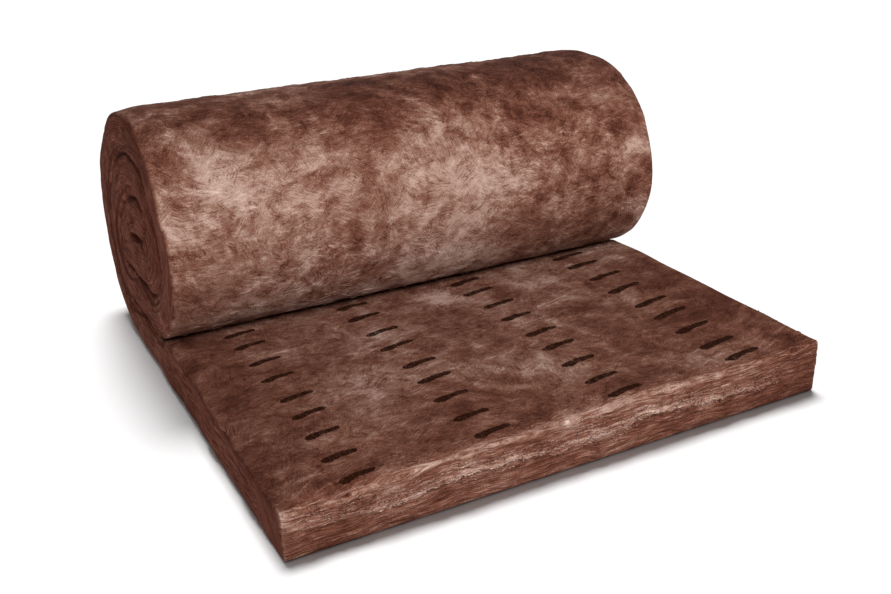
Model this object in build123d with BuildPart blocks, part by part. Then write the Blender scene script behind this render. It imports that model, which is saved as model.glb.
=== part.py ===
from build123d import *
from math import acos, asin, cos, degrees, radians, sin
import os

# Roll of mineral wool felt, partly unrolled, lying on a level floor.
# One blanket is one piece: a flat free part in front, which runs back under the roll,
# up behind it, over the top and down to the crease, and then winds on inside.
# +X is along the width, -Y is the free end, +Z is up. The origin is on the floor,
# in the middle of the object's width and depth.

# The felt
felt_width = 1200
free_thickness = 110
wound_thickness = 94
turn_gap = 2
end_bevel = 6

# The free part lies flat from its cut end to the line where the roll touches it
touch_distance = 815

# The wound section is a chain of tangent arcs, which starts level on the floor and
# turns over backwards. Each radius is that of the innermost turn's inner face.
back_foot_radius = 47
back_radius = 132
front_radius = 71
belly_radius = 49
# Directions, in degrees from level, in which one arc ends and the next begins
back_foot_end = 100
back_end = 130
top_end = 175
front_end = 260
full_turn = 360

# The innermost layer folds back on itself round a crevice and ends under the top,
# a little short of the turn in front of it
crevice_length = 100
crevice_height = 20
tail_space = 22

# Cutting marks, pressed into the top of the free part in rows: how many across and their
# margins, the first row's distance from the free end and the mean step to the next
marks_across = 4
mark_margin_left = 146
mark_margin_right = 187
first_row_distance = 32
row_pitch = 80
# A mark is a thin bar that thickens to a pointed leaf at its left end
mark_length = 84
mark_bar_width = 13
mark_leaf_length = 42
mark_leaf_width = 20
mark_leaf_widest = 17
mark_bar_shift = 4
mark_tilt = 6
mark_depth = 2

# Worked out sizes
pitch = wound_thickness + turn_gap


def rise(radius, start, end):
    """Height gained on an arc between two directions."""
    return radius * (cos(radians(start)) - cos(radians(end)))


def advance(radius, start, end):
    """Depth gained on an arc between two directions."""
    return radius * (sin(radians(end)) - sin(radians(start)))


# One whole turn has to climb by one pitch, which gives the flatter arc over the top
known_rise = (
    rise(back_foot_radius, 0, back_foot_end)
    + rise(back_radius, back_foot_end, back_end)
    + rise(front_radius, top_end, front_end)
    + rise(belly_radius, front_end, full_turn)
)
top_radius = (pitch - known_rise) / rise(1, back_end, top_end)
turn_arcs = (
    (back_foot_radius, 0, back_foot_end),
    (back_radius, back_foot_end, back_end),
    (top_radius, back_end, top_end),
    (front_radius, top_end, front_end),
    (belly_radius, front_end, full_turn),
)
# It also has to come back to where it started, which gives the level run under each turn
level_run = -sum(advance(*arc) for arc in turn_arcs)

outer_growth = pitch + wound_thickness
depth = touch_distance + level_run + back_foot_radius + outer_growth
free_end = -depth / 2
touch_line = free_end + touch_distance
rise_line = touch_line + level_run


def wind(height, growth, until=full_turn):
    """One face of one turn: it starts on the rise line and its radii grow with the layers inside it."""
    point = (rise_line, height)
    tangent = (1, 0)
    for radius, start, end in turn_arcs:
        if start < until:
            arc = JernArc(point, tangent, radius + growth, min(end, until) - start)
            point = arc @ 1
            tangent = arc % 1
    return point


# The crease is where the roll, sunk into the free part, leaves its top face
belly_outer = belly_radius + outer_growth
nip_radius = belly_outer + turn_gap
nip_centre = (touch_line, pitch + belly_outer)
nip_angle = degrees(acos((nip_centre[1] - free_thickness) / nip_radius))
crease_line = touch_line - nip_radius * sin(radians(nip_angle))
crevice_floor = 2 * pitch + wound_thickness
crevice_roof = crevice_floor + crevice_height
crevice_back = touch_line + crevice_length - crevice_height / 2
tail_direction = 180 + degrees(asin(1 - tail_space / (front_radius - turn_gap)))

# The rows that are in sight, in front of the crease, and the middle of all their marks
mark_rows = 1 + int((crease_line - free_end - first_row_distance - mark_leaf_width) / row_pitch)
mark_pitch = (felt_width - mark_margin_left - mark_margin_right) / (marks_across - 1)
marks_middle_x = (mark_margin_left - mark_margin_right) / 2
marks_middle_y = free_end + first_row_distance + (mark_rows - 1) * row_pitch / 2

# Outline of one mark, from the leaf's tip along its lower side and back along its upper side
tip_x = -mark_length / 2
leaf_y = -mark_bar_shift / 2
bar_low = (mark_bar_shift - mark_bar_width) / 2
bar_high = (mark_bar_shift + mark_bar_width) / 2
with BuildSketch() as cutting_mark:
    with BuildLine():
        Polyline(
            (tip_x, leaf_y),
            (tip_x + mark_leaf_widest, leaf_y - mark_leaf_width / 2),
            (tip_x + mark_leaf_length, bar_low),
            (mark_length / 2, bar_low),
            (mark_length / 2, bar_high),
            (tip_x + mark_leaf_length, bar_high),
            (tip_x + mark_leaf_widest, leaf_y + mark_leaf_width / 2),
            close=True,
        )
    make_face()

# The blanket
with BuildPart() as wool_blanket:
    with BuildSketch(Plane.YZ) as section:
        with BuildLine() as outline:
            # Outer face, from the free end round both turns to the tail
            Line((free_end, 0), (rise_line, 0))
            Line(wind(0, outer_growth), (rise_line, pitch))
            Line(wind(pitch, wound_thickness), (rise_line, 2 * pitch))
            tail_top = wind(2 * pitch, -turn_gap, tail_direction)
            # Cut end of the tail and the crevice that it folds round
            tail_foot = (tail_top.X, crevice_roof)
            Line(tail_top, tail_foot)
            Line(tail_foot, (crevice_back, crevice_roof))
            ThreePointArc(
                (crevice_back, crevice_roof),
                (crevice_back + crevice_height / 2, crevice_floor + crevice_height / 2),
                (crevice_back, crevice_floor),
            )
            # Inner face, back from the crevice to the crease
            Line((crevice_back, crevice_floor), wind(pitch + wound_thickness, 0))
            Line((rise_line, pitch + wound_thickness), wind(wound_thickness, pitch))
            Line((rise_line, wound_thickness), (touch_line, wound_thickness))
            CenterArc(nip_centre, nip_radius, 270 - nip_angle, nip_angle)
            # Top and cut end of the free part
            Polyline(
                (crease_line, free_thickness),
                (free_end, free_thickness),
                (free_end, 0),
            )
        make_face()
    extrude(amount=felt_width / 2, both=True)
    # Wool has no sharp edge. Its edges are eased, so that every turn shows on the ends
    end_edges = wool_blanket.faces().filter_by(Axis.X).edges()
    free_end_top = wool_blanket.faces().sort_by(Axis.Y)[0].edges().sort_by(Axis.Z)[-1]
    chamfer(end_edges + [free_end_top], end_bevel)
    with BuildSketch(Plane.XY.offset(free_thickness)):
        with Locations((marks_middle_x, marks_middle_y)):
            with GridLocations(mark_pitch, row_pitch, marks_across, mark_rows):
                add(cutting_mark.sketch, rotation=mark_tilt)
    extrude(amount=-mark_depth, mode=Mode.SUBTRACT)

wool_blanket.part.label = "wool_blanket"
os.makedirs("parts", exist_ok=True)
export_step(wool_blanket.part, "parts/wool_blanket.step")
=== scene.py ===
import math

import bpy
import numpy as np
from mathutils import Matrix, Vector
from mathutils.geometry import delaunay_2d_cdt


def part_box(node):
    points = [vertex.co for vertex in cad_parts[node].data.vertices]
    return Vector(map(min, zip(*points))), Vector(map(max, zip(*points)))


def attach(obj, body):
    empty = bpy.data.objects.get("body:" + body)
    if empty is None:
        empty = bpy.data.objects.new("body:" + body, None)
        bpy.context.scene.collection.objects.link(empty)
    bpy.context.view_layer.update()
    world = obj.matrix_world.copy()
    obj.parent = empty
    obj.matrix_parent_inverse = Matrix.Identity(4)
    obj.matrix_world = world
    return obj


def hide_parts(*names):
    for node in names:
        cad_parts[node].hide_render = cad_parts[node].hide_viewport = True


# A partly unrolled blanket of mineral wool. Metres, +X along the width, -Y the free end, +Z up.
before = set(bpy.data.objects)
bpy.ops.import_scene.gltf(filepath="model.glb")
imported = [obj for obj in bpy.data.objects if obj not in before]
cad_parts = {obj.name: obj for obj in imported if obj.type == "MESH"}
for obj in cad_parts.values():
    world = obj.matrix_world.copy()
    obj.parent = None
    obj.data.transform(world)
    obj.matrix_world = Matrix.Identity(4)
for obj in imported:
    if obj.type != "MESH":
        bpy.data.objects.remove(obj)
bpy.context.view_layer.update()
low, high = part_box("wool_blanket")

# Sizes of the felt, as in the part's source
WIDTH = high.x - low.x
FREE_END = low.y
FREE_THICKNESS = 0.110
WOUND_THICKNESS = 0.094
TURN_GAP = 0.002
PITCH = WOUND_THICKNESS + TURN_GAP
TOUCH_DISTANCE = 0.815
FRONT_RADIUS = 0.071
BELLY_RADIUS = 0.049
CREVICE_LENGTH = 0.100
CREVICE_HEIGHT = 0.020
TAIL_SPACE = 0.022


def rise(radius, start, end):
    """Height gained on an arc between two directions in degrees."""
    return radius * (math.cos(math.radians(start)) - math.cos(math.radians(end)))


def advance(radius, start, end):
    """Depth gained on an arc between two directions in degrees."""
    return radius * (math.sin(math.radians(end)) - math.sin(math.radians(start)))


# The arcs that carry a turn up behind, over the top and down in front: the radius on the
# innermost layer, and the directions in degrees between which each runs. The one over the top
# has the radius with which a whole turn climbs by one pitch
TOP_RUN = 130, 175
BACK_ARCS = (0.047, 0, 100), (0.132, 100, TOP_RUN[0])
FRONT_ARCS = (FRONT_RADIUS, TOP_RUN[1], 260), (BELLY_RADIUS, 260, 360)
known_rise = sum(rise(*arc) for arc in BACK_ARCS + FRONT_ARCS)
TURN_ARCS = *BACK_ARCS, ((PITCH - known_rise) / rise(1, *TOP_RUN), *TOP_RUN), *FRONT_ARCS
OUTER_GROWTH = PITCH + WOUND_THICKNESS
TOUCH_LINE = FREE_END + TOUCH_DISTANCE
RISE_LINE = TOUCH_LINE - sum(advance(*arc) for arc in TURN_ARCS)
BELLY_OUTER = BELLY_RADIUS + OUTER_GROWTH
NIP_RADIUS = BELLY_OUTER + TURN_GAP
NIP_CENTRE = np.array([TOUCH_LINE, PITCH + BELLY_OUTER])
NIP_ANGLE = math.acos((NIP_CENTRE[1] - FREE_THICKNESS) / NIP_RADIUS)
CREASE_LINE = TOUCH_LINE - NIP_RADIUS * math.sin(NIP_ANGLE)
TAIL_DIRECTION = 180 + math.degrees(math.asin(1 - TAIL_SPACE / (FRONT_RADIUS - TURN_GAP)))

# How the mesh is laid out
FINE_STEP = 0.001
VISIBLE_STEP = 0.0070
FLOOR_STEP = 0.030
CREASE_STEP = 0.0045
FREE_END_STEP = 0.0036
COLUMN_STEP = 0.0071
CAP_STEP = 0.0080
SEAM_ROWS = (-0.0050, -0.0022, 0.0, 0.0022, 0.0050)
NIP_TIP = 351
CORNER_ROUNDING = 0.0055
ROUNDING_STEPS = 24
END_RADIUS = 0.0055
END_ROWS = 3


def at(*parts):
    """Points whose coordinates are the given arrays and numbers."""
    return np.stack(np.broadcast_arrays(*parts), 1)


def unit(vectors):
    """The same vectors, each one unit long."""
    return vectors / np.maximum(np.linalg.norm(vectors, axis=-1, keepdims=True), 1e-12)


# Noise, the same on every run

dice = np.random.default_rng(1209)
SHUFFLE = dice.permutation(256)
SLOPES = unit(dice.normal(size=(256, 3)))


def noise(points):
    """Smooth noise from about -1 to 1 at points of shape (n, 3), with features about 1 unit across."""
    cell = np.floor(points).astype(int)
    part = points - cell
    ease = part ** 3 * (part * (part * 6 - 15) + 10)
    total = np.zeros(len(points))
    for corner in np.ndindex(2, 2, 2):
        pick = 0
        for along_axis in (cell + corner).T:
            pick = SHUFFLE[(pick + along_axis) & 255]
        weight = np.prod(np.where(corner, ease, 1 - ease), axis=1)
        total += weight * np.sum(SLOPES[pick] * (part - corner), axis=1)
    return total * 1.7


def fractal(points, octaves=3, gain=0.5):
    """Noise with finer and weaker copies of itself added."""
    total = np.zeros(len(points))
    for octave in range(octaves):
        total += gain ** octave * noise(points * 2 ** octave + 17.3 * octave)
    return total


def swayed(points, *seeds):
    """One coordinate of noise for each seed."""
    return np.stack([noise(points + seed) for seed in seeds], 1)


def eased(value, start, end):
    """0 before start, 1 past end and smooth between them."""
    share = np.clip((value - start) / (end - start), 0, 1)
    return share * share * (3 - 2 * share)


def bell(value, reach):
    """1 at zero and falling to 0 some way past the reach, on either side."""
    return np.exp(-(value / reach) ** 2)


# Lines of the section, as (y, z) points

def straight(start, end):
    count = max(2, int(math.dist(start, end) / FINE_STEP))
    return np.linspace(start, end, count)


def wind(height, growth, until=360):
    """One face of one turn, from the rise line round to the direction until."""
    point = np.array([RISE_LINE, height])
    parts = []
    for radius, start, end in TURN_ARCS:
        if start >= until:
            break
        grown = radius + growth
        first, last = math.radians(start), math.radians(min(end, until))
        sweep = np.linspace(first, last, max(4, int(grown * (last - first) / FINE_STEP)))
        arc = at(np.sin(sweep) - math.sin(first), math.cos(first) - np.cos(sweep))
        parts.append(point + grown * arc)
        point = parts[-1][-1]
    return np.concatenate(parts)


def pressed_line(first, last):
    """The free part's top where the roll has pressed it in, between angles from the lowest point."""
    sweep = np.linspace(first, last, 80)
    return NIP_CENTRE - NIP_RADIUS * at(np.sin(sweep), np.cos(sweep))


def clean(points):
    """The same line without repeated points."""
    step = np.linalg.norm(np.diff(points, axis=0), axis=1)
    return points[np.concatenate([[True], step > 1e-7])]


def lengths(points):
    step = np.linalg.norm(np.diff(points, axis=0), axis=1)
    return np.concatenate([[0], np.cumsum(step)])


def even(points, step):
    """A line's points at even steps along it."""
    along = lengths(points)
    places = np.arange(0, along[-1], step)
    return at(*(np.interp(places, along, values) for values in points.T))


crevice_floor = 2 * PITCH + WOUND_THICKNESS
crevice_middle = crevice_floor + CREVICE_HEIGHT / 2
crevice_back = TOUCH_LINE + CREVICE_LENGTH
turn_one = wind(0, OUTER_GROWTH)
turn_two = wind(PITCH, WOUND_THICKNESS)
turn_three = wind(2 * PITCH, -TURN_GAP, TAIL_DIRECTION)
outer_face = clean(np.concatenate([
    straight((FREE_END, 0), (RISE_LINE, 0)),
    turn_one,
    straight((TOUCH_LINE, PITCH), (RISE_LINE, PITCH)),
    turn_two,
    straight((TOUCH_LINE, 2 * PITCH), (RISE_LINE, 2 * PITCH)),
    turn_three,
]))
outer_length = lengths(outer_face)
hidden_start = RISE_LINE - FREE_END + lengths(wind(0, OUTER_GROWTH, NIP_TIP))[-1]
turn_seam = outer_face[outer_length > hidden_start]
tail_end = turn_three[-1] - (0.012, 0.020)
crevice_line = np.concatenate([
    straight(tail_end, (TOUCH_LINE, crevice_middle)),
    straight((TOUCH_LINE, crevice_middle), (crevice_back, crevice_middle)),
])


def envelope():
    """The outline of the whole section, closed, in steps of a millimetre, with its corners rounded."""
    tip = math.radians(360 - NIP_TIP)
    points = even(clean(np.concatenate([
        straight((FREE_END, 0), (RISE_LINE, 0)),
        wind(0, OUTER_GROWTH, NIP_TIP),
        pressed_line(tip, NIP_ANGLE),
        straight((CREASE_LINE, FREE_THICKNESS), (FREE_END, FREE_THICKNESS)),
        straight((FREE_END, FREE_THICKNESS), (FREE_END, 0)),
    ])), FINE_STEP)
    reach = np.arange(-ROUNDING_STEPS, ROUNDING_STEPS + 1)
    weights = np.exp(-0.5 * (reach * FINE_STEP / CORNER_ROUNDING) ** 2)
    weights /= weights.sum()
    return sum(w * np.roll(points, r, axis=0) for r, w in zip(reach, weights))


def spaced(points):
    """Rows along the outline and their outward normals: fine in sight, coarse on the floor."""
    y, z = points[:, 0], points[:, 1]
    gap = np.full(len(points), VISIBLE_STEP)
    gap[(z < 0.002) & (y > FREE_END + 0.02)] = FLOOR_STEP
    gap[np.hypot(y - CREASE_LINE - 0.02, z - FREE_THICKNESS) < 0.07] = CREASE_STEP
    gap[y < FREE_END + 0.012] = FREE_END_STEP
    step = np.linalg.norm(np.roll(points, -1, axis=0) - points, axis=1)
    count = np.concatenate([[0], np.cumsum(step / gap)])
    rows = int(count[-1])
    place = np.interp(np.arange(rows) * count[-1] / rows, count, np.arange(len(points) + 1))
    index = place.astype(int) % len(points)
    share = (place - place.astype(int))[:, None]
    chosen = points[index] * (1 - share) + points[(index + 1) % len(points)] * share
    tangent = unit(np.roll(points, -3, axis=0) - np.roll(points, 3, axis=0))[index]
    return chosen, at(tangent[:, 1], -tangent[:, 0])


# Coordinates in the felt itself

SAMPLE = 6
CHUNK = 2000
BEHIND_FACE = -0.004
TOO_FAR = 9.0
face_points = outer_face[::SAMPLE]
face_tangent = unit(np.gradient(outer_face, axis=0))[::SAMPLE]
face_inward = at(-face_tangent[:, 1], face_tangent[:, 0])
face_length = outer_length[::SAMPLE]


def chunks(points):
    """Slices of many points, few enough each for the tables of distances."""
    return [slice(first, first + CHUNK) for first in range(0, len(points), CHUNK)]


def felt_place(points):
    """The length along the felt and the depth from its outer face, at (y, z) points."""
    along, depth = np.zeros((2, len(points)))
    for chunk in chunks(points):
        offset = points[chunk, None] - face_points[None]
        inward = np.sum(offset * face_inward[None], axis=2)
        distance = np.linalg.norm(offset, axis=2)
        distance[inward < BEHIND_FACE] = TOO_FAR
        nearest = np.argmin(distance, axis=1)
        chosen = np.arange(len(nearest)), nearest
        beyond = np.sum(offset[chosen] * face_tangent[nearest], axis=1)
        along[chunk] = face_length[nearest] + beyond
        depth[chunk] = np.maximum(inward[chosen], 0)
    # The free part is straight, so its points need no search
    free = (points[:, 0] < CREASE_LINE + 0.004) & (points[:, 1] < FREE_THICKNESS + 0.002)
    along[free] = points[free, 0] - FREE_END
    depth[free] = points[free, 1]
    return along, depth


def distance_to(line, points, every=4):
    """Distance from each point to a line given as points."""
    offsets = (points[chunk, None] - line[None, ::every] for chunk in chunks(points))
    return np.concatenate([np.linalg.norm(offset, axis=2).min(axis=1) for offset in offsets])


# Forms of the surface

def end_reach(x):
    """1 at either end of the roll and 0 well inside it."""
    return eased(np.abs(x), WIDTH / 2 - 0.10, WIDTH / 2 - 0.01)


# Height of the free part's left edge over its nominal thickness, at distances from the free end
LEFT_EDGE_AT = (0.045, 0.136, 0.313, 0.480, 0.647, 0.723)
LEFT_EDGE_RISE = (-0.011, -0.014, -0.012, -0.006, 0.002, 0.002)
# The same for its right edge, and for the free end's upper edge at distances from the left side
RIGHT_EDGE_AT = (0.0, 0.70)
RIGHT_EDGE_RISE = (0.009, 0.005)
FRONT_EDGE_AT = (0.0, 0.11, 0.25, 0.36, 0.55, 0.73, 0.88, 1.04, 1.20)
FRONT_EDGE_RISE = (-0.002, 0.000, -0.002, 0.000, -0.001, 0.006, 0.006, 0.003, 0.000)
# How far the rounded edge of the free end droops near its left corner
DROOP_AT = (0.0, 0.05, 0.10, 0.15, 0.20, 0.27)
DROOP = (0.000, 0.013, 0.018, 0.014, 0.008, 0.000)
# How far in from its edge each of these fades, and the height of the free part's waves
LEFT_REACH, RIGHT_REACH, FRONT_REACH, DROOP_REACH = 0.05, 0.10, 0.09, 0.016
WAVE_HEIGHT = 0.0025


def lift_of_free_part(x, y):
    """How far the free part's top stands above or below its nominal height."""
    from_left, from_right = WIDTH / 2 + x, WIDTH / 2 - x
    from_end = y - FREE_END
    left = np.interp(from_end, LEFT_EDGE_AT, LEFT_EDGE_RISE) * bell(from_left, LEFT_REACH)
    right = np.interp(from_end, RIGHT_EDGE_AT, RIGHT_EDGE_RISE) * bell(from_right, RIGHT_REACH)
    front = np.interp(from_left, FRONT_EDGE_AT, FRONT_EDGE_RISE) * bell(from_end, FRONT_REACH)
    droop = np.interp(from_left, DROOP_AT, DROOP) * bell(from_end, DROOP_REACH)
    waves = WAVE_HEIGHT * noise(at(x * 4.5, y * 5.5, 3.1))
    return (left + right + front - droop + waves) * (1 - eased(from_end, 0.60, 0.73))


# Heights of the lumps, tufts and flakes on the faces and of the layers on the cut edges
LUMP_HEIGHT = 0.0021
TUFT_HEIGHT = 0.0016
FLAKE_HEIGHT = 0.0012
LAYER_HEIGHT = 0.0020


def surface_lift(x, along, depth, face):
    """Lumps and tufts along the normal. face is 1 on the felt's two faces and 0 on its cut edges."""
    place = at(x, along, depth * 1.5)
    swirled = place + 0.02 * swayed(place * 9, 5, 31, 77)
    lumps = LUMP_HEIGHT * fractal(place * 7, 2)
    tufts = TUFT_HEIGHT * fractal(swirled * 24, 3, 0.6)
    flakes = FLAKE_HEIGHT * (1 - 2 * np.abs(noise(swirled * 42)))
    # The free part's top and the rims of the roll are calmer
    calm = (1 - 0.45 * eased(depth, 0.03, 0.09)) * (1 - 0.85 * end_reach(x))
    strata = at(x * 9, along * 9, depth * 150 + 2 * noise(place * 12))
    layers = LAYER_HEIGHT * fractal(strata, 2, 0.6)
    return face * calm * (lumps + tufts + flakes) + (1 - face) * (0.4 * lumps + 0.5 * tufts + layers)


# The free end is torn along its top: the edge is rounded over, down to a ragged lip, which
# fades out towards both corners. These are the lip's heights at places across the width
LIP_AT = (-0.60, -0.50, -0.40, -0.30, -0.20, -0.10, -0.04, 0.01, 0.10, 0.17, 0.25, 0.35, 0.50)
LIP_HEIGHT = (0.068, 0.060, 0.048, 0.058, 0.066, 0.057, 0.047, 0.054, 0.058, 0.066, 0.055, 0.052, 0.046)
TORN_FROM, TORN_TO = -0.54, 0.50
TORN_RADIUS = 0.016
RAG_HEIGHT = 0.006
# How far the lip, the frayed layers and the crumbs along the lip stand out of the free end
LIP_REACH = 0.005
FRAY_REACH, TORN_FRAY_REACH = 0.0018, 0.0012
CRUMB_REACH = 0.0035


def torn_share(x):
    """1 where the free end is torn and 0 near its corners."""
    return eased(x, TORN_FROM - 0.08, TORN_FROM + 0.12) * (1 - eased(x, TORN_TO - 0.10, TORN_TO + 0.08))


def lip_height(x):
    """Height of the ragged lip across the free end."""
    return np.interp(x, LIP_AT, LIP_HEIGHT) + RAG_HEIGHT * fractal(at(x * 24, 8.7, 2.2), 3, 0.7)


def torn_end(x, y, z):
    """The free end's points with its top edge rounded and its face frayed, how near each is to the
    lip and how much painted shade each takes under the lip."""
    torn = torn_share(x)
    radius = TORN_RADIUS * (0.15 + 0.85 * torn) * (1 + 0.25 * noise(at(x * 9, 3, 1)))
    from_side = np.clip(radius - (y - FREE_END), 0, None)
    from_top = np.clip(radius - (FREE_THICKNESS - z), 0, None)
    square = np.maximum(from_side, from_top)
    round_share = square / np.maximum(np.hypot(from_side, from_top), 1e-9)
    corner = (from_side > 0) & (from_top > 0)
    y = np.where(corner, y + from_side * (1 - round_share), y)
    z = np.where(corner, z - from_top * (1 - round_share), z)
    over = z - lip_height(x)
    lip = bell(over - 0.004, 0.010) * torn
    strata = at(x * 8, z * 120 + 1.5 * noise(at(x * 9, z * 30, 4)), 2.5)
    frayed = (FRAY_REACH + TORN_FRAY_REACH * torn) * fractal(strata, 3, 0.7)
    reach = LIP_REACH * torn * eased(over, -0.002, 0.003) * (1 - eased(over, 0.0, 0.040))
    reach += frayed * (1 - eased(np.abs(x), 0.560, 0.595))
    reach += CRUMB_REACH * lip * fractal(at(x * 64, z * 90, 6.5), 2, 0.8)
    reach *= eased(z, 0.0, 0.02) * (1 - eased(y - FREE_END, 0.010, 0.045))
    # Painted shade under the lip, broken into gaps along it
    gaps = eased(noise(at(x * 13, 4.4, 9.1)), -0.3, 0.5)
    under = bell(over + 0.0035, 0.0035) * torn * gaps
    return y - reach, z, lip, under


# How far the turns are out of line at the ends, how much the outer turn draws in there, and the
# relief of the ends: the groove between two turns, narrow or open, the crevice's hollow, the
# bulge of each layer of felt, and the fine layers, folds and lumps
END_SHIFT = 0.003
CURL_LEFT, CURL_RIGHT = 0.006, 0.015
GROOVE_DEPTH, OPEN_GROOVE_DEPTH = 0.004, 0.006
GROOVE_WIDTH, OPEN_GROOVE_WIDTH = 0.0032, 0.0016
HOLLOW_DEPTH, HOLLOW_WIDTH = 0.026, 0.005
BULGE_HEIGHT = 0.005
END_LAYER_HEIGHT, END_FOLD_DEPTH, END_LUMP_HEIGHT = 0.0016, 0.003, 0.0016


def end_shift(y, z):
    """How far the ends stand out or in, turn by turn, as a roll's ends never line up."""
    return END_SHIFT * fractal(at(y * 6, z * 6, 8.5), 2) * eased(y - FREE_END, 0.0, 0.20)


def end_curl(x, z):
    """How far the roll's outer turn draws in towards its ends, more on the right."""
    depth = np.where(x > 0, CURL_RIGHT, CURL_LEFT)
    return depth * eased(np.abs(x), WIDTH / 2 - 0.060, WIDTH / 2) ** 1.5 * eased(z, 0.28, 0.45)


def cap_relief(points, side):
    """Relief of an end at (y, z) points, the painted shade in its grooves, hollow and folds, and the
    places in the felt.
    """
    seed = 3.3 * side
    spot = at(points[:, 0], points[:, 1], seed)
    moved = points + 0.0035 * swayed(spot * 14, 9, 41) + 0.0007 * swayed(spot * 45, 3, 23)
    along, depth = felt_place(points)
    open_share = eased(noise(spot * 9 + 60) + 0.25, -0.5, 0.7)
    groove = bell(distance_to(turn_seam, moved), GROOVE_WIDTH + OPEN_GROOVE_WIDTH * open_share)
    groove *= GROOVE_DEPTH + OPEN_GROOVE_DEPTH * open_share
    hollow = HOLLOW_DEPTH * bell(distance_to(crevice_line, moved), HOLLOW_WIDTH)
    bulge = np.sin(np.pi * np.clip(depth / WOUND_THICKNESS, 0, 1)) * eased(along, -0.02, 0.25)
    strata = at(along * 7, depth * 130 + 2.5 * noise(spot * 16), seed)
    layers = END_LAYER_HEIGHT * fractal(strata, 2, 0.6)
    folds = END_FOLD_DEPTH * eased(fractal(at(along * 9, depth * 45, seed + 4), 2), 0.45, 0.85)
    lumps = END_LUMP_HEIGHT * fractal(spot * 22, 3)
    # The rim of each layer is smoother than its middle
    from_face = np.minimum(depth, np.where(along < TOUCH_DISTANCE, FREE_THICKNESS - depth, depth))
    calm = 0.25 + 0.75 * eased(from_face, 0.0, 0.03)
    relief = BULGE_HEIGHT * bulge + calm * (layers + lumps - folds) - groove - hollow
    # Painted shade: the grooves, the crevice's hollow and the folds are darkened by their depth
    dark = np.clip(85 * groove + hollow / 0.030 + 100 * folds, 0, 1)
    return relief, dark, along, depth


# The felt as one closed mesh

def column_places():
    """Places across the width, each column's inset from the outline and how far it faces an end."""
    half = WIDTH / 2 - END_RADIUS
    flat = np.linspace(-half, half, round(2 * half / COLUMN_STEP) + 1)
    level = np.zeros(len(flat))
    angles = np.arange(1, END_ROWS + 1) / END_ROWS * np.pi / 2

    def mirrored(middle, right, sign):
        return np.concatenate([sign * right[::-1], middle, right])

    x = mirrored(flat, half + END_RADIUS * np.sin(angles), -1)
    inset = mirrored(level, END_RADIUS * (1 - np.cos(angles)), 1)
    return x, inset, mirrored(level, np.sin(angles), -1)


def inside(points, ring):
    """Which (y, z) points lie inside a closed ring."""
    start, end = ring, np.roll(ring, -1, axis=0)
    result = np.zeros(len(points), bool)
    for (y0, z0), (y1, z1) in zip(start, end):
        crosses = (z0 > points[:, 1]) != (z1 > points[:, 1])
        if crosses.any():
            meets = y0 + (points[:, 1] - z0) / (z1 - z0 + 1e-12) * (y1 - y0)
            result ^= crosses & (points[:, 0] < meets)
    return result


def cap_points(ring):
    """Points over an end of the roll: a jittered grid, and closer rows along the gaps between turns."""
    lowest, highest = ring.min(axis=0), ring.max(axis=0)
    ys = np.arange(lowest[0], highest[0], CAP_STEP)
    zs = np.arange(lowest[1], highest[1], CAP_STEP)
    grid = np.stack(np.meshgrid(ys, zs), axis=2).reshape(-1, 2)
    grid = grid + dice.uniform(-0.25, 0.25, grid.shape) * CAP_STEP
    rows = []
    for line in (turn_seam, crevice_line):
        points = even(line, 0.75 * CAP_STEP)
        tangent = unit(np.gradient(points, axis=0))
        across = at(-tangent[:, 1], tangent[:, 0])
        rows += [points + across * shift for shift in SEAM_ROWS]
    rows = np.concatenate(rows)
    grid = grid[distance_to(rows, grid, 1) > 0.5 * CAP_STEP]
    points = np.concatenate([rows, grid])
    points = points[inside(points, ring)]
    return points[distance_to(ring, points, 1) > 0.5 * CAP_STEP]


def cap_mesh(ring, side):
    """Interior points of an end and its triangles, numbered round the ring and then inside it."""
    interior = cap_points(ring)
    flat = np.concatenate([ring, interior])
    corners = [Vector(point) for point in flat.tolist()]
    result = delaunay_2d_cdt(corners, [], [list(range(len(ring)))], 1, 1e-7, True)
    faces, sources = result[2], result[3]
    triangles = np.array([[sources[corner][0] for corner in face] for face in faces])
    triangles = triangles[inside(flat[triangles].mean(axis=1), ring)]
    return interior, triangles if side > 0 else triangles[:, ::-1]


def settled(x, y, z):
    """The free part's own unevenness, added to the height of anything in it."""
    share = np.clip(z / FREE_THICKNESS, 0, 1) * (1 - eased(z, 0.13, 0.17))
    return z + share * lift_of_free_part(x, y)


# How far the painted shade at the crease reaches, how dark the painted shade under the lip is, and
# which points can be torn
CREASE_SHADE = 0.010
LIP_SHADE = 0.45
NEAR_FREE_END = 0.06


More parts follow.
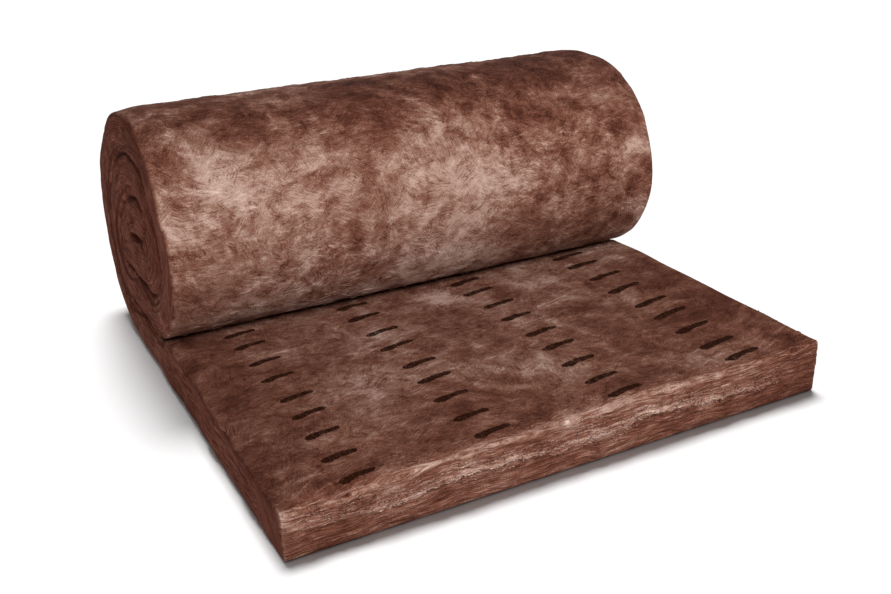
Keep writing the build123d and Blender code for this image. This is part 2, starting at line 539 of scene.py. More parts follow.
def felt_mesh():
    """Points, faces, shading values with the places in the felt, and the outer grid's shape."""
    rows, normals = spaced(envelope())
    x, inset, facing = column_places()
    shape = row_count, column_count = len(rows), len(x)
    along, depth = felt_place(rows)

    def spread(values):
        """One value for each row, at all the points of the outer grid."""
        return np.broadcast_to(values[:, None], shape).ravel()

    columns = (x, inset, facing)
    flat_x, flat_inset, flat_facing = [np.broadcast_to(values, shape).ravel() for values in columns]
    crease = np.hypot(rows[:, 0] - CREASE_LINE, rows[:, 1] - FREE_THICKNESS)
    free_face = 1 - eased(np.abs(rows[:, 0] - FREE_END), 0.006, 0.030)
    on_face = spread(1 - free_face)
    free = spread(eased(rows[:, 1], 0.0, 0.025) * eased(crease, 0.006, 0.045))
    lift = surface_lift(flat_x, spread(along), spread(depth), on_face)
    lift *= free * (1 - flat_facing ** 2)
    outward = lift - flat_inset - end_curl(flat_x, spread(rows[:, 1]))
    y = spread(rows[:, 0]) + spread(normals[:, 0]) * outward
    z = spread(rows[:, 1]) + spread(normals[:, 1]) * outward

    relief = np.zeros(len(flat_x))
    # Painted shade along the crease, then in the ends' grooves and under the lip
    dark = spread(bell(crease, CREASE_SHADE))
    cut = spread(free_face)
    for side in (-1, 1):
        chosen = np.flatnonzero(flat_facing * side > 0)
        share = np.abs(flat_facing[chosen])
        found = cap_relief(at(y[chosen], z[chosen]), side)
        relief[chosen] = found[0] * share ** 2
        dark[chosen] = np.maximum(dark[chosen], found[1] * share)
        cut[chosen] = np.maximum(cut[chosen], share)
    shifted = flat_x + np.sign(flat_x) * (end_shift(y, z) * end_reach(flat_x) + relief)
    near = y < FREE_END + NEAR_FREE_END
    lip, under = np.zeros(len(y)), np.zeros(len(y))
    y[near], z[near], lip[near], under[near] = torn_end(flat_x[near], y[near], z[near])
    dark = np.maximum(dark, LIP_SHADE * under)
    z = settled(shifted, y, z)
    places = at(flat_x, spread(along), spread(depth))
    parts = [(at(shifted, y, z), places, cut, dark, lip * (1 - flat_facing ** 2))]

    total = row_count * column_count
    numbers = np.arange(total).reshape(shape)
    following = np.roll(numbers, -1, axis=0)
    quads = np.stack([numbers[:, :-1], numbers[:, 1:], following[:, 1:], following[:, :-1]], 2)
    faces = quads.reshape(-1, 4)[:, ::-1].tolist()
    for side, column in ((-1, 0), (1, column_count - 1)):
        ring_numbers = numbers[:, column]
        ring = parts[0][0][ring_numbers, 1:]
        interior, triangles = cap_mesh(ring, side)
        count = len(interior)
        lookup = np.concatenate([ring_numbers, total + np.arange(count)])
        faces += lookup[triangles].tolist()
        relief, dark, along, depth = cap_relief(interior, side)
        y, z = interior.T
        shifted = side * (WIDTH / 2 + end_shift(y, z) + relief)
        inner = at(shifted, y, settled(shifted, y, z))
        places = at(side * WIDTH / 2, along, depth)
        parts.append((inner, places, np.ones(count), dark, np.zeros(count)))
        total += count
    points, places, cut, dark, lip = [np.concatenate(kind) for kind in zip(*parts)]
    values = {"felt": places, "cut": cut, "dark": dark, "tone": tone_with_painted_light(places, lip)}
    return points, faces, values, shape


# Paler and darker patches of the wool, partly its own uneven tone and partly painted light and shade:
# the paler patches over the roll's front add a painted highlight, the band across the whole width over
# the roll's top is painted shade and the one along its lower front painted light. Each gives the place
# across the width and along the felt from the free end, the reach both ways, all in centimetres, and
# how much paler it is, in hundredths of the way from the darkest to the palest wool
PATCHES_WITH_PAINTED_LIGHT = (
    (-1, 228, 17, 12, 19), (4, 241, 11, 9, 13), (13, 220, 8, 7, 13), (-13, 234, 7, 7, 12),
    (-30, 223, 12, 7, 17), (-42, 222, 10, 7, 23), (-51, 228, 5, 4, -6), (-47.5, 217, 5, 7, 20),
    (-40, 237, 16, 7, 12), (-57, 240, 4, 7, -8), (-50, 249, 5, 5, 14), (-13, 254, 8, 4, 12),
    (-25, 244, 8, 5, -14), (-44, 255, 8, 4, 20), (0, 245, 5, 4, -12), (15, 240, 5, 4, -12),
    (40, 222, 6, 4, -12), (-56, 233, 5, 9, 6), (37, 230, 6, 6, 10), (49, 215, 7, 5, 21),
    (53, 230, 7, 3, 26), (46, 236, 6, 4, -8), (37, 250, 5, 5, -10), (56, 241, 6, 5, -22),
    (45, 228, 6, 5, -12), (23, 224, 7, 5, -12), (-47, 206, 9, 6, 9), (-36, 222, 4, 4, -12),
    (8, 231, 6, 8, 12), (-53, 241, 4, 9, 8), (54.5, 232.5, 5, 3, 12), (0, 203, 90, 12, -21),
    (47, 192, 18, 8, -5), (10, 193, 50, 5, 10), (34, 214, 5, 4, 16), (25, 204, 6, 5, -6),
    (52, 198, 7, 6, -18), (0, 259, 90, 6, 20), (9, 248, 12, 6, 30), (25, 245, 8, 5, 8),
    (45, 247, 20, 8, -6), (-58, 60, 7, 10, -14), (-54, 30, 10, 22, -16), (-41, 5, 18, 4, -20),
    (-55, 5, 5, 4, -10), (0, 6, 10, 5, -5), (22, 4, 10, 4, -11), (58, 0, 6, 5, -14),
    (-17, 58, 5, 4, -16), (-26, 48, 5, 5, -9), (-26, 29, 5, 5, -9), (-52, 34, 5, 5, -10),
    (-50, 1, 5, 3, -14), (-17, 7, 8, 4, 13), (-10, 0, 4, 2, -10), (5, 0, 6, 3, 5),
    (40, 2, 16, 4, -10), (6, 60, 10, 5, 10), (-45, 22, 6, 5, 10), (-32, 209, 4, 3, 14),
    (-48, 209, 3, 3, 12), (-56, 68, 4, 4, -14), (8, 44, 6, 4, 10), (-24, 12, 14, 5, -9),
    (-5, 16, 10, 5, -19), (-53, 17, 4, 4, 8), (-59, 19, 3, 8, -14), (0, 62, 10, 5, 22),
    (26, 50, 7, 5, -9), (35, 30, 35, 35, -3), (1, 31, 8, 5, -12), (21, 21, 7, 5, -9),
    (46, 25, 6, 5, -27), (53, 10, 12, 12, -17), (37, 42, 7, 5, 22), (5, 50, 14, 5, 10),
    (-35, 31, 11, 9, 25),
)
# The same for whole parts: the band behind the torn edge, the lip, the ridge along the edge, the free
# end above and below the lip and at its left, and the felt's left and right sides, where the paler tone
# is painted light that lifts their shade
TOP_BAND_TONE = 0.10
LIP_TONE = 0.22
RIDGE_TONE = 0.11
UPPER_TONE = 0.03
LOWER_TONE = -0.03
LEFT_BLOCK_TONE = 0.07
SIDE_PAINTED_LIGHT = 0.15
RIDGE_HEIGHT = 0.107


def tone_with_painted_light(places, lip):
    """How much paler or darker than usual the wool is at each point, from its own uneven tone and from
    painted light and shade.
    """
    x, along, depth = places.T
    tone = np.zeros(len(places))
    for middle, length, reach_x, reach_along, strength in np.array(PATCHES_WITH_PAINTED_LIGHT) / 100:
        tone += strength * bell(x - middle, reach_x) * bell(along - length, reach_along)
    torn = 0.25 + 0.75 * torn_share(x)
    # The free part's top, just behind its torn edge
    on_top = (depth > 0.9 * FREE_THICKNESS) & (along < TOUCH_DISTANCE)
    band_width = 0.012 + 0.035 * bell(x - 0.03, 0.14)
    band_width *= 1 + 0.5 * noise(at(x * 14, along * 9, 5))
    band = torn * on_top * bell(np.maximum(along, 0), band_width)
    tone += TOP_BAND_TONE * eased(x, -0.42, -0.28) * band
    # The free end
    front = along < 0.012
    upper = eased(depth - lip_height(x), -0.004, 0.004)
    ridge = torn * bell(depth - RIDGE_HEIGHT, 0.008) * (0.8 + 0.8 * noise(at(x * 8, 0, 2)))
    ridge *= 1 - 0.5 * eased(x, 0.20, 0.40)
    left_block = eased(x, -0.40, -0.50) * upper
    tone += front * (LIP_TONE * lip + RIDGE_TONE * ridge + LEFT_BLOCK_TONE * left_block)
    tone += front * (LOWER_TONE + (UPPER_TONE - LOWER_TONE) * upper)
    # The sides, which run on under the roll, made paler with painted light that lifts their shade
    at_side = (np.abs(x) > WIDTH / 2 - 0.004) & (depth < FREE_THICKNESS)
    at_side &= along < TOUCH_DISTANCE + 0.4
    in_roll = eased(along, TOUCH_DISTANCE, TOUCH_DISTANCE + 0.02) * eased(depth, 0.03, 0.05)
    return tone + SIDE_PAINTED_LIGHT * at_side * (1 - in_roll)


def placed(name, data):
    """A new object in the scene."""
    made = bpy.data.objects.new(name, data)
    bpy.context.collection.objects.link(made)
    return made


def make_piece(name, points, faces, values, material):
    """A smooth piece with shading values for its points, which rides on the part and is of wool."""
    mesh = bpy.data.meshes.new(name)
    mesh.from_pydata(points.tolist(), [], faces)
    mesh.update()
    mesh.shade_smooth()
    mesh.materials.append(material)
    for label, data in values.items():
        kind, field = ("FLOAT", "value") if data.size == len(points) else ("FLOAT_VECTOR", "vector")
        layer = mesh.attributes.new(label, kind, "POINT")
        layer.data.foreach_set(field, data.astype(np.float32).ravel())
    piece = placed(name, mesh)
    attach(piece, "root")
    return piece


# Materials

class Nodes:
    """Short ways to add and join the nodes of one material."""

    def __init__(self, name):
        self.material = bpy.data.materials.new(name)
        self.material.use_nodes = True
        self.tree = self.material.node_tree
        self.shader = self.tree.nodes["Principled BSDF"]

    def put(self, node, socket, value):
        target = node.inputs[socket]
        if isinstance(value, bpy.types.NodeSocket):
            self.tree.links.new(value, target)
        else:
            target.default_value = value

    def add(self, kind, inputs=(), **settings):
        node = self.tree.nodes.new(kind)
        for name, value in settings.items():
            setattr(node, name, value)
        for socket, value in dict(inputs).items():
            self.put(node, socket, value)
        return node

    def maths(self, operation, first, second=0.0, third=0.0):
        inputs = {0: first, 1: second, 2: third}
        return self.add("ShaderNodeMath", inputs, operation=operation).outputs[0]

    def plus(self, first, second):
        return self.maths("ADD", first, second)

    def minus(self, first, second):
        return self.maths("SUBTRACT", first, second)

    def times(self, first, second, added=None):
        """A product, with something added where that is given."""
        if added is None:
            return self.maths("MULTIPLY", first, second)
        return self.maths("MULTIPLY_ADD", first, second, added)

    def stretched(self, vector, factors):
        return self.vector("MULTIPLY", vector, factors)

    def vector(self, operation, first, second=(0, 0, 0)):
        return self.add("ShaderNodeVectorMath", {0: first, 1: second}, operation=operation).outputs[0]

    def scaled(self, vector, factors, turn=0.0):
        """A vector turned about its third axis by some degrees and then stretched."""
        turned = self.add("ShaderNodeVectorRotate", {"Vector": vector, "Angle": math.radians(turn)},
                          rotation_type="Z_AXIS")
        return self.stretched(turned.outputs[0], factors)

    def noise(self, vector, scale, detail=2.0, roughness=0.5, distortion=0.0):
        inputs = {"Vector": vector, "Scale": scale, "Detail": detail}
        inputs |= {"Roughness": roughness, "Distortion": distortion}
        return self.add("ShaderNodeTexNoise", inputs).outputs["Fac"]

    def ease(self, value, start, end, low_value=0.0, high_value=1.0):
        inputs = {"Value": value, "From Min": start, "From Max": end}
        inputs |= {"To Min": low_value, "To Max": high_value}
        return self.add("ShaderNodeMapRange", inputs, interpolation_type="SMOOTHSTEP").outputs[0]

    def mix(self, share, first, second):
        """A number between first and second."""
        return self.add("ShaderNodeMix", {0: share, 2: first, 3: second}, data_type="FLOAT").outputs[0]

    def blend(self, share, first, second):
        """A colour between first and second."""
        return self.add("ShaderNodeMix", {0: share, 6: first, 7: second}, data_type="RGBA").outputs[2]

    def ramp(self, value, stops, interpolation="LINEAR"):
        node = self.add("ShaderNodeValToRGB", {0: value})
        node.color_ramp.interpolation = interpolation
        elements = node.color_ramp.elements
        while len(elements) < len(stops):
            elements.new(0.5)
        for element, (position, colour) in zip(elements, stops):
            element.position = position
            element.color = (*colour, 1)
        return node.outputs[0]

    def steps(self, value, edges, levels):
        """A number that stays at each level until value reaches the next edge."""
        lowest, span = min(levels), max(levels) - min(levels)
        stops = [(edge, ((level - lowest) / span,) * 3) for edge, level in zip(edges, levels)]
        return self.times(self.ramp(value, stops, "CONSTANT"), span, lowest)

    def layered(self, middle, parts):
        """The sum of some noises, each with its share, about a middle value."""
        total = middle - 0.5 * sum(share for part, share in parts)
        for part, share in parts:
            total = self.times(part, share, total)
        return total

    def about(self, middle, value, factor):
        """A value whose distance from the middle is multiplied by a factor."""
        return self.times(self.minus(value, middle), factor, middle)

    def split(self, vector):
        return self.add("ShaderNodeSeparateXYZ", {0: vector}).outputs

    def attribute(self, name):
        return self.add("ShaderNodeAttribute", attribute_name=name)

    def finished(self, sockets):
        """The material, once the shader's own sockets are set or joined."""
        for socket, value in sockets.items():
            self.put(self.shader, socket, value)
        return self.material


# Colours of the wool's faces and of its ends, from the deepest shade to the palest fibres, and of the
# ink. The ends' colours are a darker, redder copy of the faces': painted shade for the ends
FACE_TONES = (
    (0.00, (0.030, 0.008, 0.005)),
    (0.28, (0.072, 0.023, 0.014)),
    (0.48, (0.132, 0.052, 0.034)),
    (0.64, (0.206, 0.107, 0.078)),
    (0.80, (0.345, 0.225, 0.182)),
    (1.00, (0.640, 0.490, 0.430)),
)
END_SHADE_TONES = (
    (0.00, (0.030, 0.007, 0.004)),
    (0.28, (0.082, 0.021, 0.013)),
    (0.50, (0.145, 0.043, 0.027)),
    (0.72, (0.230, 0.088, 0.060)),
    (1.00, (0.400, 0.220, 0.170)),
)
INK = (0.0140, 0.0030, 0.0004, 1)

# Cutting marks: the rows' distances from the free end and small shifts sideways, the columns'
# places and small shifts along the felt, and how much bigger each column's marks are
MARK_ROWS = (0.032, 0.104, 0.188, 0.271, 0.344, 0.439, 0.521, 0.607, 0.674)
MARK_SHIFTS = (0.001, -0.003, -0.001, 0.005, 0.008, 0.002, 0.005, 0.000, 0.000)
MARK_COLUMNS = (-0.447, -0.174, 0.121, 0.426)
MARK_COLUMN_SHIFTS = (0.000, 0.008, 0.003, 0.012)
MARK_GROWTH = (1.00, 1.12, 1.18, 1.34)
MARK_LENGTH = 0.074
MARK_TILT = math.radians(6)
MARK_BAR_SHIFT = 0.003
# Half of a mark's width at shares of its length from the left, and how rough its edge is
MARK_HALF_WIDTHS = ((0.00, 0.0020), (0.07, 0.0070), (0.22, 0.0096), (0.55, 0.0076), (0.93, 0.0064),
                    (1.00, 0.0030))
MARK_ROUGHNESS = 0.006
# Half widths and rows are kept in ramps, which hold numbers from 0 to 1
HALF_WIDTH_SCALE = 0.02
ROWS_END = MARK_ROWS[-1] + 0.04


def halfway(places):
    """Where each of some places in a row begins: at 0, and then halfway from the one before."""
    return [0] + [(first + second) / 2 for first, second in zip(places, places[1:])]


def cutting_marks(nodes, place):
    """How much ink there is: thin bars, each with a pointed leaf at its left end."""
    x, along, depth = nodes.split(place)
    from_left = nodes.plus(x, 0.5)
    edges = halfway([middle + 0.5 for middle in MARK_COLUMNS])
    column, further, growth = [nodes.steps(from_left, edges, levels)
                               for levels in (MARK_COLUMNS, MARK_COLUMN_SHIFTS, MARK_GROWTH)]
    share = nodes.maths("DIVIDE", nodes.minus(along, further), ROWS_END)
    edges = halfway([row / ROWS_END for row in MARK_ROWS])
    row, shift = [nodes.steps(share, edges, levels) for levels in (MARK_ROWS, MARK_SHIFTS)]
    # The place from the middle of its own mark, first along the felt's axes and then the mark's
    u = nodes.minus(x, nodes.plus(shift, column))
    u = nodes.maths("DIVIDE", u, growth)
    v = nodes.minus(along, nodes.plus(row, further))
    v = nodes.maths("DIVIDE", v, nodes.maths("SQRT", growth))
    level = nodes.times(v, math.tan(MARK_TILT), u)
    across = nodes.times(u, -math.tan(MARK_TILT), v)
    place_in_mark = nodes.times(level, 1 / MARK_LENGTH, 0.5)
    stops = [(share, (size / HALF_WIDTH_SCALE,) * 3) for share, size in MARK_HALF_WIDTHS]
    half = nodes.ramp(place_in_mark, stops)
    middle = nodes.ease(place_in_mark, 0.2, 0.5, -MARK_BAR_SHIFT / 2, MARK_BAR_SHIFT / 2)
    off = nodes.maths("ABSOLUTE", nodes.minus(across, middle))
    edge = nodes.minus(nodes.times(half, HALF_WIDTH_SCALE), off)
    rough = nodes.noise(place, 170.0, 2.0, 0.6)
    edge = nodes.plus(edge, nodes.times(rough, MARK_ROUGHNESS, -MARK_ROUGHNESS / 2))
    ink = nodes.ease(edge, -0.0014, 0.0016)
    # Marks lie only on the free part's top, in sight, and end bluntly
    tip = nodes.ease(nodes.maths("ABSOLUTE", level), MARK_LENGTH / 2 + 0.001, MARK_LENGTH / 2 - 0.001)
    ink = nodes.times(ink, nodes.maths("LESS_THAN", along, MARK_ROWS[-1] + 0.03))
    ink = nodes.times(ink, nodes.maths("GREATER_THAN", depth, 0.09))
    ink = nodes.times(ink, tip)
    # Fibres break the ink up a little
    hatch = nodes.noise(nodes.stretched(place, (330, 70, 60)), 1.0, 2.0, 0.6)
    return nodes.times(ink, nodes.ease(hatch, 0.30, 0.55, 0.74, 1.0))


def swirl(nodes, place):
    """Swirled coordinates, so that no streak runs straight for long."""
    swirled = place
    for scale, reach in ((2.6, 0.10), (9.0, 0.016)):
        sway = nodes.add("ShaderNodeTexNoise", {"Vector": place, "Scale": scale, "Detail": 1.0})
        shift = nodes.vector("SUBTRACT", sway.outputs["Color"], (0.5, 0.5, 0.5))
        swirled = nodes.vector("ADD", swirled, nodes.stretched(shift, (reach, reach, 0.2 * reach)))
    return swirled


def crossing_fibres(nodes, swirled):
    """Fibres lying in several directions, each where a mask lets it show."""
    streaks = []
    for turn, along, across in ((8, 30, 270), (-32, 34, 300), (48, 36, 290), (-68, 38, 310)):
        turned = nodes.scaled(swirled, (along, across, 90), turn)
        streaks.append(nodes.noise(turned, 1.0, 5.0, 0.68, 0.25))
    where = nodes.noise(swirled, 7.0, 1.0, 0.5)
    fibres = streaks[0]
    for start, streak in zip((0.41, 0.50, 0.58), streaks[1:]):
        fibres = nodes.mix(nodes.ease(where, start, start + 0.05), fibres, streak)
    return fibres


def edge_layers(nodes, place):
    """The layers that cut edges show, broad and thin, and the pale ones above the lip."""
    bent = nodes.add("ShaderNodeTexNoise", {"Vector": place, "Scale": 11.0}).outputs["Color"]
    bent = nodes.vector("SUBTRACT", bent, (0.5, 0.5, 0.5))
    bent = nodes.vector("ADD", place, nodes.stretched(bent, (0.02, 0.02, 0.012)))
    x, along, depth = nodes.split(bent)
    # At the free end the layers turn down with its rounded edge
    near_end = nodes.times(along, nodes.maths("LESS_THAN", along, 0.12))
    level = nodes.minus(depth, near_end)
    further = nodes.minus(along, near_end)
    layered = nodes.add("ShaderNodeCombineXYZ", {0: x, 1: further, 2: level}).outputs[0]
    layers, thin_layers, pale_layers = [
        nodes.noise(nodes.stretched(layered, (flat, flat, thin)), 1.0, *settings)
        for flat, thin, *settings in ((9, 170, 4.0, 0.7, 0.2), (22, 420, 3.0, 0.65, 0.2),
                                      (13, 170, 4.0, 0.72, 0.5))
    ]
    pale_share = nodes.ease(level, 0.045, 0.070, 0.04, 0.20)
    pale_layers = nodes.times(nodes.ease(pale_layers, 0.52, 0.64), pale_share)
    return layers, thin_layers, pale_layers


# Middle values of the wool on its faces and on cut edges, the values there above which it is held back,
# and by how much, and how much painted shade darkens grooves and creases
FACE_MIDDLE, EDGE_MIDDLE = 0.49, 0.33
PALE_FACE, PALE_EDGE = 0.76, 0.70
HELD_BACK = 0.50
GROOVE_SHADE = 0.40
CREASE_SHADE_STRENGTH = 0.12
# How much more uneven the roll's dark wool is
DARK_UNEVENNESS = 1.32


def wool_material():
    nodes = Nodes("mineral_wool_felt")
    place = nodes.attribute("felt").outputs["Vector"]
    cut, dark, tone = [nodes.attribute(name).outputs["Fac"] for name in ("cut", "dark", "tone")]
    swirled = swirl(nodes, place)
    # Patches of thicker and thinner wool, from hand to finger size
    clouds = nodes.noise(swirled, 5.0, 2.0, 0.5, 0.3)
    lumps = nodes.noise(swirled, 21.0, 5.0, 0.66, 0.35)
    flecks = nodes.noise(nodes.stretched(swirled, (55, 90, 60)), 1.0, 4.0, 0.7, 0.4)
    grain = nodes.noise(place, 330.0, 3.0, 0.7)
    fibres = crossing_fibres(nodes, swirled)
    # A few long pale wisps lie on top, and small creases run between the tufts, darkened with painted
    # shade
    wisps = nodes.noise(nodes.scaled(swirled, (13, 90, 40), -14), 1.0, 3.0, 0.6, 0.5)
    wisps = nodes.times(nodes.ease(wisps, 0.56, 0.72), nodes.ease(clouds, 0.38, 0.58))
    veins = nodes.maths("ABSOLUTE", nodes.minus(nodes.noise(swirled, 15.0, 3.0, 0.6, 1.2), 0.5))
    shaded_creases = nodes.times(nodes.ease(veins, 0.024, 0.0), nodes.ease(lumps, 0.56, 0.42))
    # The clouds and fibres are fainter than the other noises, on the free part's top and elsewhere
    on_top = nodes.ease(nodes.split(place)[2], 0.03, 0.09)
    clouds = nodes.about(0.5, clouds, nodes.mix(on_top, 0.75, 0.80))
    fibres = nodes.about(0.5, fibres, nodes.mix(on_top, 0.60, 0.62))
    face_parts = ((clouds, 1.05), (lumps, 0.80), (flecks, 0.46), (fibres, 0.92), (grain, 0.55))
    face = nodes.layered(FACE_MIDDLE, face_parts)
    face = nodes.times(wisps, 0.15, face)
    # The creases between the tufts get painted shade
    face = nodes.times(shaded_creases, -CREASE_SHADE_STRENGTH, face)
    darker = nodes.times(nodes.ease(tone, 0.12, -0.04), nodes.minus(1.0, on_top))
    face = nodes.about(FACE_MIDDLE, face, nodes.mix(darker, 1.0, DARK_UNEVENNESS))
    layers, thin_layers, pale_layers = edge_layers(nodes, place)
    edge_parts = ((layers, 0.80), (thin_layers, 1.25), (lumps, 0.50), (grain, 0.60))
    edge = nodes.layered(EDGE_MIDDLE, edge_parts)
    edge = nodes.times(clouds, 0.3, nodes.plus(edge, pale_layers))
    value = nodes.plus(nodes.mix(cut, face, edge), tone)
    palest = nodes.minus(value, nodes.mix(cut, PALE_FACE, PALE_EDGE))
    value = nodes.times(nodes.maths("MAXIMUM", palest, 0.0), -HELD_BACK, value)
    # Painted shade in the grooves, along the crease and under the lip
    value = nodes.times(dark, -GROOVE_SHADE, value)
    # The roll's ends and the free part's sides take the darker, redder end colours: painted shade for
    # faces that turn away from the lamps
    across = nodes.maths("ABSOLUTE", nodes.split(place)[0])
    shaded_end = nodes.times(cut, nodes.ease(across, WIDTH / 2 - 0.002, WIDTH / 2))
    wool = nodes.blend(shaded_end, nodes.ramp(value, FACE_TONES), nodes.ramp(value, END_SHADE_TONES))
    height = nodes.mix(cut, fibres, layers)
    for part, share in ((lumps, 0.9), (shaded_creases, -0.25), (grain, 0.15)):
        height = nodes.times(part, share, height)
    bump = nodes.add("ShaderNodeBump", {"Height": height, "Strength": 0.8, "Distance": 0.006})
    return nodes.finished({
        "Base Color": nodes.blend(cutting_marks(nodes, place), wool, INK),
        "Roughness": 0.95,
        "Specular IOR Level": 0.03,
        "Sheen Weight": 0.015,
        "Sheen Roughness": 0.5,
        "Sheen Tint": (0.8, 0.5, 0.4, 1),
        "Normal": bump.outputs[0],
    })


def wool_felt(material):
    """The felt, and its outer grid with the points and shading values, row by row."""
    points, faces, values, shape = felt_mesh()
    piece = make_piece("wool_felt", points, faces, values, material)
    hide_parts("wool_blanket")
    count = shape[0] * shape[1]
    grid = {name: data[:count].reshape(*shape, -1) for name, data in values.items()}
    return piece, {**grid, "points": points[:count].reshape(*shape, 3)}


# Loose fibres and small tufts that lie on the wool, each a thin closed strand that dives into
# it at its ends. Each group has a place, a number of strands, their shortest and longest length,
# half thickness, lift, spread of directions in degrees and paleness
STRAND_RINGS = 7
STRAND_POINTS = 3 * STRAND_RINGS + 2
STRAND_BEND = 30
STRAND_GROUPS = (
    ("everywhere", 1700, 0.018, 0.050, 0.00055, 0.0006, 32, 0.06),
    ("lip", 600, 0.008, 0.026, 0.00160, 0.0016, 24, 0.07),
    ("top edge", 500, 0.020, 0.050, 0.00090, 0.0010, 14, 0.10),
    ("crease", 200, 0.012, 0.030, 0.00060, 0.0030, 50, 0.05),
    ("low front", 50, 0.030, 0.070, 0.00080, 0.0008, 14, 0.08),
)


def strand_starts(group, count, grid):
    """Rows and columns of the outer grid at which strands of a group lie."""
    points = grid["points"]
    x, y, z = points[..., 0], points[..., 1], points[..., 2]
    over = z - lip_height(x.ravel()).reshape(x.shape)
    weights = {
        "everywhere": (z > 0.012) * (1 + 1.5 * eased(z, 0.2, 0.3) * (y < 0.2)),
        "lip": (y < FREE_END + 0.035) * bell(over - 0.010, 0.014) * torn_share(x),
        "top edge": (y < FREE_END + 0.05) * (z > 0.07),
        "crease": np.hypot(y - CREASE_LINE, z - FREE_THICKNESS) < 0.05,
        "low front": (x < -0.10) * (y < 0.1) * (z > 0.14) * (z < 0.23),
    }
    inner = np.abs(x) < WIDTH / 2 - 0.02
    spacing = np.linalg.norm(np.gradient(points, axis=0), axis=2)
    weight = (inner * weights[group] * spacing).ravel()
    chosen = dice.choice(len(weight), count, p=weight / weight.sum())
    return np.divmod(chosen, points.shape[1])


def on_grid(values, row, column):
    """Values of the outer grid between its rows and columns."""
    rows, columns = values.shape[:2]
    low_row = np.floor(row).astype(int)
    low_column = np.clip(np.floor(column).astype(int), 0, columns - 2)
    row_part, column_part = (row - low_row)[..., None], (column - low_column)[..., None]
    near, far = [values[line % rows, low_column] * (1 - column_part)
                 + values[line % rows, low_column + 1] * column_part for line in (low_row, low_row + 1)]
    return near * (1 - row_part) + far * row_part


def strands(group, count, shortest, longest, half, lift, spread, paleness, grid):
    """The points of one group's strands and their shading values, ring by ring and then the tips."""
    points = grid["points"]
    down = np.gradient(points, axis=0)
    normal = unit(np.cross(down, np.gradient(points, axis=1)))
    row, column = strand_starts(group, count, grid)
    length = dice.uniform(shortest, longest, count)
    angle = np.radians(dice.normal(0, spread, count))
    bend = np.radians(dice.normal(0, STRAND_BEND, count))
    t = np.linspace(0, 1, STRAND_RINGS + 2)[None]
    heading = angle[:, None] + bend[:, None] * (t - 0.5)
    step = length[:, None] / (STRAND_RINGS + 1)
    row_gap = np.linalg.norm(down[row, column], axis=1)[:, None]
    rows = row[:, None] + dice.uniform(0, 1, (count, 1))
    rows = rows + np.cumsum(np.sin(heading) * step / row_gap, axis=1)
    columns = column[:, None] + np.cumsum(np.cos(heading) * step / COLUMN_STEP, axis=1)
    columns = np.clip(columns, 1.0, points.shape[1] - 2.001)
    centre, up = on_grid(points, rows, columns), on_grid(normal, rows, columns)
    side = np.cross(unit(np.gradient(centre, axis=1)), up)
    arch = np.sin(np.pi * t)[..., None]
    thick = half * dice.uniform(0.6, 1.4, (count, 1, 1)) * np.sqrt(arch)
    centre = centre + up * (-half + (half + lift * dice.uniform(0.2, 1.0, (count, 1, 1))) * arch)
    rings = np.stack([centre - side * thick, centre + side * thick, centre + up * thick], axis=2)
    rings = rings[:, 1:-1].reshape(count, -1, 3)
    result = {"points": np.concatenate([rings, centre[:, [0, -1]]], axis=1)}
    for name in ("felt", "cut", "dark", "tone"):
        found = on_grid(grid[name], rows, columns)
        ringed = np.repeat(found[:, 1:-1], 3, axis=1)
        result[name] = np.concatenate([ringed, found[:, [0, -1]]], axis=1)
    result["tone"] += paleness * dice.uniform(0.0, 1.4, (count, 1, 1))
    return {name: values.reshape(count * STRAND_POINTS, -1) for name, values in result.items()}


def strand_faces(first, count):
    """Faces between the rings of some strands and at their tips, the points numbered from first."""
    last = 3 * (STRAND_RINGS - 1)
    corners = ((0, 1), (1, 2), (2, 0))
    quads = [(ring + here, ring + after, ring + after + 3, ring + here + 3)
             for ring in range(0, last, 3) for here, after in corners]
    tips = [(STRAND_POINTS - 2, after, here) for here, after in corners]
    tips += [(STRAND_POINTS - 1, last + here, last + after) for here, after in corners]
    starts = first + STRAND_POINTS * np.arange(count)[:, None, None]
    return (starts + quads).reshape(-1, 4).tolist() + (starts + tips).reshape(-1, 3).tolist()


def loose_fibres(grid, material):
    faces, parts, total = [], [], 0
    for group in STRAND_GROUPS:
        parts.append(strands(*group, grid))
        faces += strand_faces(total, group[1])
        total += group[1] * STRAND_POINTS
    values = {name: np.concatenate([part[name] for part in parts]) for name in parts[0]}
    return make_piece("loose_fibres", values.pop("points"), faces, values, material)


wool = wool_material()
felt, felt_grid = wool_felt(wool)
fibres = loose_fibres(felt_grid, wool)


# Floor, light and camera

FLOOR_DROP = 0.0003
FLOOR_SIZE = 400
FLOOR_COLOUR = (0.93, 0.93, 0.93, 1)
WORLD_COLOUR = (1, 1, 1, 1)
WORLD_STRENGTH = 0.22
# How wide the sun over the floor looks, in degrees, which sets how soft its shadow is
FLOOR_LIGHT_ANGLE = 21


def plain_floor():
    material = Nodes("plain_floor").finished({"Base Color": FLOOR_COLOUR, "Roughness": 0.9,
                                              "Specular IOR Level": 0.0})
    half = FLOOR_SIZE / 2
    mesh = bpy.data.meshes.new("floor")
    corners = [(x * half, y * half, -FLOOR_DROP) for x, y in ((-1, -1), (1, -1), (1, 1), (-1, 1))]
    mesh.from_pydata(corners, [], [(0, 1, 2, 3)])
    mesh.materials.append(material)
    floor = placed("floor", mesh)
    return floor


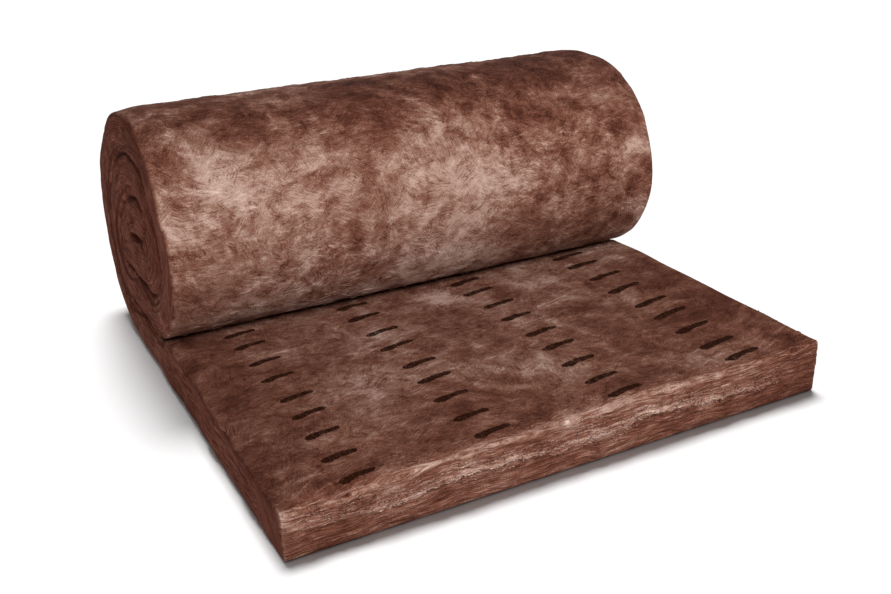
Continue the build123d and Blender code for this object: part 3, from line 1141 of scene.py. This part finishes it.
def lamp(kind, name, energy, place, aim, lit, **settings):
    """A lamp that faces the point aim and lights only the objects in lit."""
    data = bpy.data.lights.new(name, kind)
    data.energy = energy
    for setting, value in settings.items():
        setattr(data, setting, value)
    found = placed(name, data)
    found.location = place
    found.rotation_euler = (Vector(aim) - Vector(place)).to_track_quat("-Z", "Y").to_euler()
    group = bpy.data.collections.new(name + "_lit")
    for each in lit:
        group.objects.link(each)
    found.light_linking.receiver_collection = group


def studio(wool, floor):
    world = bpy.data.worlds.new("studio")
    world.use_nodes = True
    background = world.node_tree.nodes["Background"]
    background.inputs["Color"].default_value = WORLD_COLOUR
    background.inputs["Strength"].default_value = WORLD_STRENGTH
    bpy.context.scene.world = world
    # A wide lamp in front lights the wool, with a low one that reaches under the roll and a
    # weaker one for its back. The floor's light comes from high behind, a little from the right
    lamp("AREA", "front_lamp", 275, (0.4, -3.6, 3.3), (0, 0, 0.25), wool, size=1.6)
    lamp("AREA", "low_lamp", 24, (-0.4, -3.8, 0.7), (0, 0, 0.25), wool, size=1.2)
    lamp("AREA", "back_lamp", 110, (1.6, 3.8, 2.6), (0, 0.2, 0.3), wool, size=1.6)
    lamp("SUN", "floor_light", 3.1, (0.6, 2.0, 7.0), (0, 0, 0), floor,
         angle=math.radians(FLOOR_LIGHT_ANGLE))
    bpy.context.scene.view_settings.view_transform = "Standard"


# The camera that was fitted to the photo, with angles in degrees, its lens and sensor in millimetres
CAMERA_PLACE = (-1.0340, -2.0652, 1.1398)
CAMERA_YAW = -27.46
CAMERA_PITCH = -23.89
CAMERA_ROLL = -1.26
LENS = 43.68
SENSOR_WIDTH = 36


def photo_camera():
    data = bpy.data.cameras.new("photo_camera")
    data.sensor_width = SENSOR_WIDTH
    data.lens = LENS
    camera = placed("photo_camera", data)
    camera.matrix_world = (
        Matrix.Translation(CAMERA_PLACE)
        @ Matrix.Rotation(math.radians(CAMERA_YAW), 4, "Z")
        @ Matrix.Rotation(math.radians(90 + CAMERA_PITCH), 4, "X")
        @ Matrix.Rotation(math.radians(CAMERA_ROLL), 4, "Z")
    )
    bpy.context.scene.camera = camera


studio([felt, fibres], [plain_floor()])
photo_camera()
